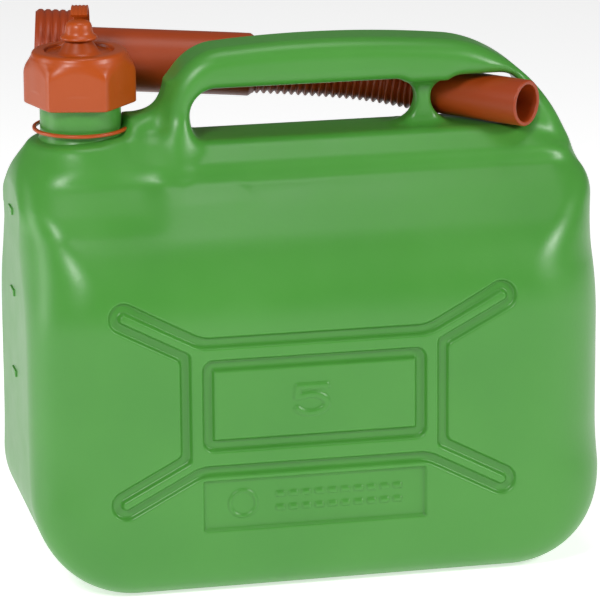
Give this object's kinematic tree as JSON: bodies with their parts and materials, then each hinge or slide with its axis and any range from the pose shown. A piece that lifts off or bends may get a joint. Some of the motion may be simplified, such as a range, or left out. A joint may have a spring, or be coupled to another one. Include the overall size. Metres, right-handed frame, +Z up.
{
  "type": "plastic fuel can",
  "caption": "Blow-moulded plastic fuel can with a top handle, a screw cap on a tether and a flexible pouring spout stowed behind the handle.",
  "frame": {"origin": "centre of the base, on the surface the can stands on", "axes": "+X along the can away from the neck, +Y from front to back, +Z up"},
  "size_m": [0.2658, 0.1432, 0.258],
  "materials": {
    "green_plastic": "semi-gloss moulded polyethylene with a faint orange-peel texture",
    "cap_plastic": "moulded polypropylene",
    "tether_plastic": "flexible moulded polyethylene",
    "collar_plastic": "moulded polypropylene",
    "spout_plastic": "blow-moulded polyethylene",
    "seal_rubber": "matt nitrile rubber"
  },
  "bodies": {
    "can": {"tank": "green_plastic", "neck": "green_plastic", "handle": "green_plastic", "tether_ring": "tether_plastic", "tether_strap": "tether_plastic"},
    "tether_end": {"tether_eye": "tether_plastic"},
    "cap": {"cap": "cap_plastic", "cap_seal": "seal_rubber"},
    "spout_tip": {"spout_tip": "spout_plastic"},
    "barrel": {"spout_barrel": "spout_plastic", "spout_seal": "seal_rubber"},
    "collar": {"spout_collar": "collar_plastic"},
    "bellows_1": {"bellows_1": "spout_plastic"},
    "bellows_2": {"bellows_2": "spout_plastic"},
    "bellows_3": {"bellows_3": "spout_plastic"},
    "bellows_4": {"bellows_4": "spout_plastic"}
  },
  "joints": [
    {"name": "cap_rise", "type": "slide", "parent": "can", "child": "tether_end", "axis": [0, 0, 1], "range_m": [0, 0.0126], "deforming": ["tether_strap"]},
    {"name": "cap_turn", "type": "hinge", "parent": "tether_end", "child": "cap", "pos_m": [-0.1, 0, 0.2345], "axis": [0, 0, 1], "range_deg": [0, 900]},
    {"name": "spout_draw", "type": "slide", "parent": "can", "child": "spout_tip", "axis": [-0.6691, 0.7431, 0], "range_m": [0, 0.09]},
    {"name": "spout_bend", "type": "hinge", "parent": "spout_tip", "child": "bellows_4", "pos_m": [0.0698, 0.0115, 0.20985], "axis": [-0.3779, -0.3403, -0.8611], "range_deg": [0, 13.87]},
    {"name": "spout_bend_2", "type": "hinge", "parent": "bellows_4", "child": "bellows_3", "pos_m": [0.05856, 0.01967, 0.21156], "axis": [-0.2383, -0.1268, -0.9629], "range_deg": [0, 13.25]},
    {"name": "spout_bend_3", "type": "hinge", "parent": "bellows_3", "child": "bellows_2", "pos_m": [0.04043, 0.02736, 0.21503], "axis": [-0.0319, 0.3478, -0.937], "range_deg": [0, 9.44]},
    {"name": "spout_bend_4", "type": "hinge", "parent": "bellows_2", "child": "bellows_1", "pos_m": [0.01924, 0.03265, 0.21771], "axis": [0.0589, 0.6294, -0.7749], "range_deg": [0, 3.24]},
    {"name": "spout_bend_5", "type": "hinge", "parent": "bellows_1", "child": "barrel", "pos_m": [-0.012, 0.039, 0.2205], "axis": [0.046, 0.5822, -0.8117], "range_deg": [0, 3.19]},
    {"name": "collar_turn", "type": "hinge", "parent": "barrel", "child": "collar", "pos_m": [-0.101, 0.053, 0.2255], "axis": [0.9863, -0.1552, -0.0554], "continuous": true}
  ],
  "couplings": [
    {"joint": "cap_rise", "follows": "cap_turn", "m_per_rad": 0.00079577},
    {"joint": "spout_bend_2", "follows": "spout_bend", "ratio": 0.95196},
    {"joint": "spout_bend_3", "follows": "spout_bend", "ratio": 0.67731},
    {"joint": "spout_bend_4", "follows": "spout_bend", "ratio": 0.23011},
    {"joint": "spout_bend_5", "follows": "spout_bend", "ratio": 0.2263}
  ]
}
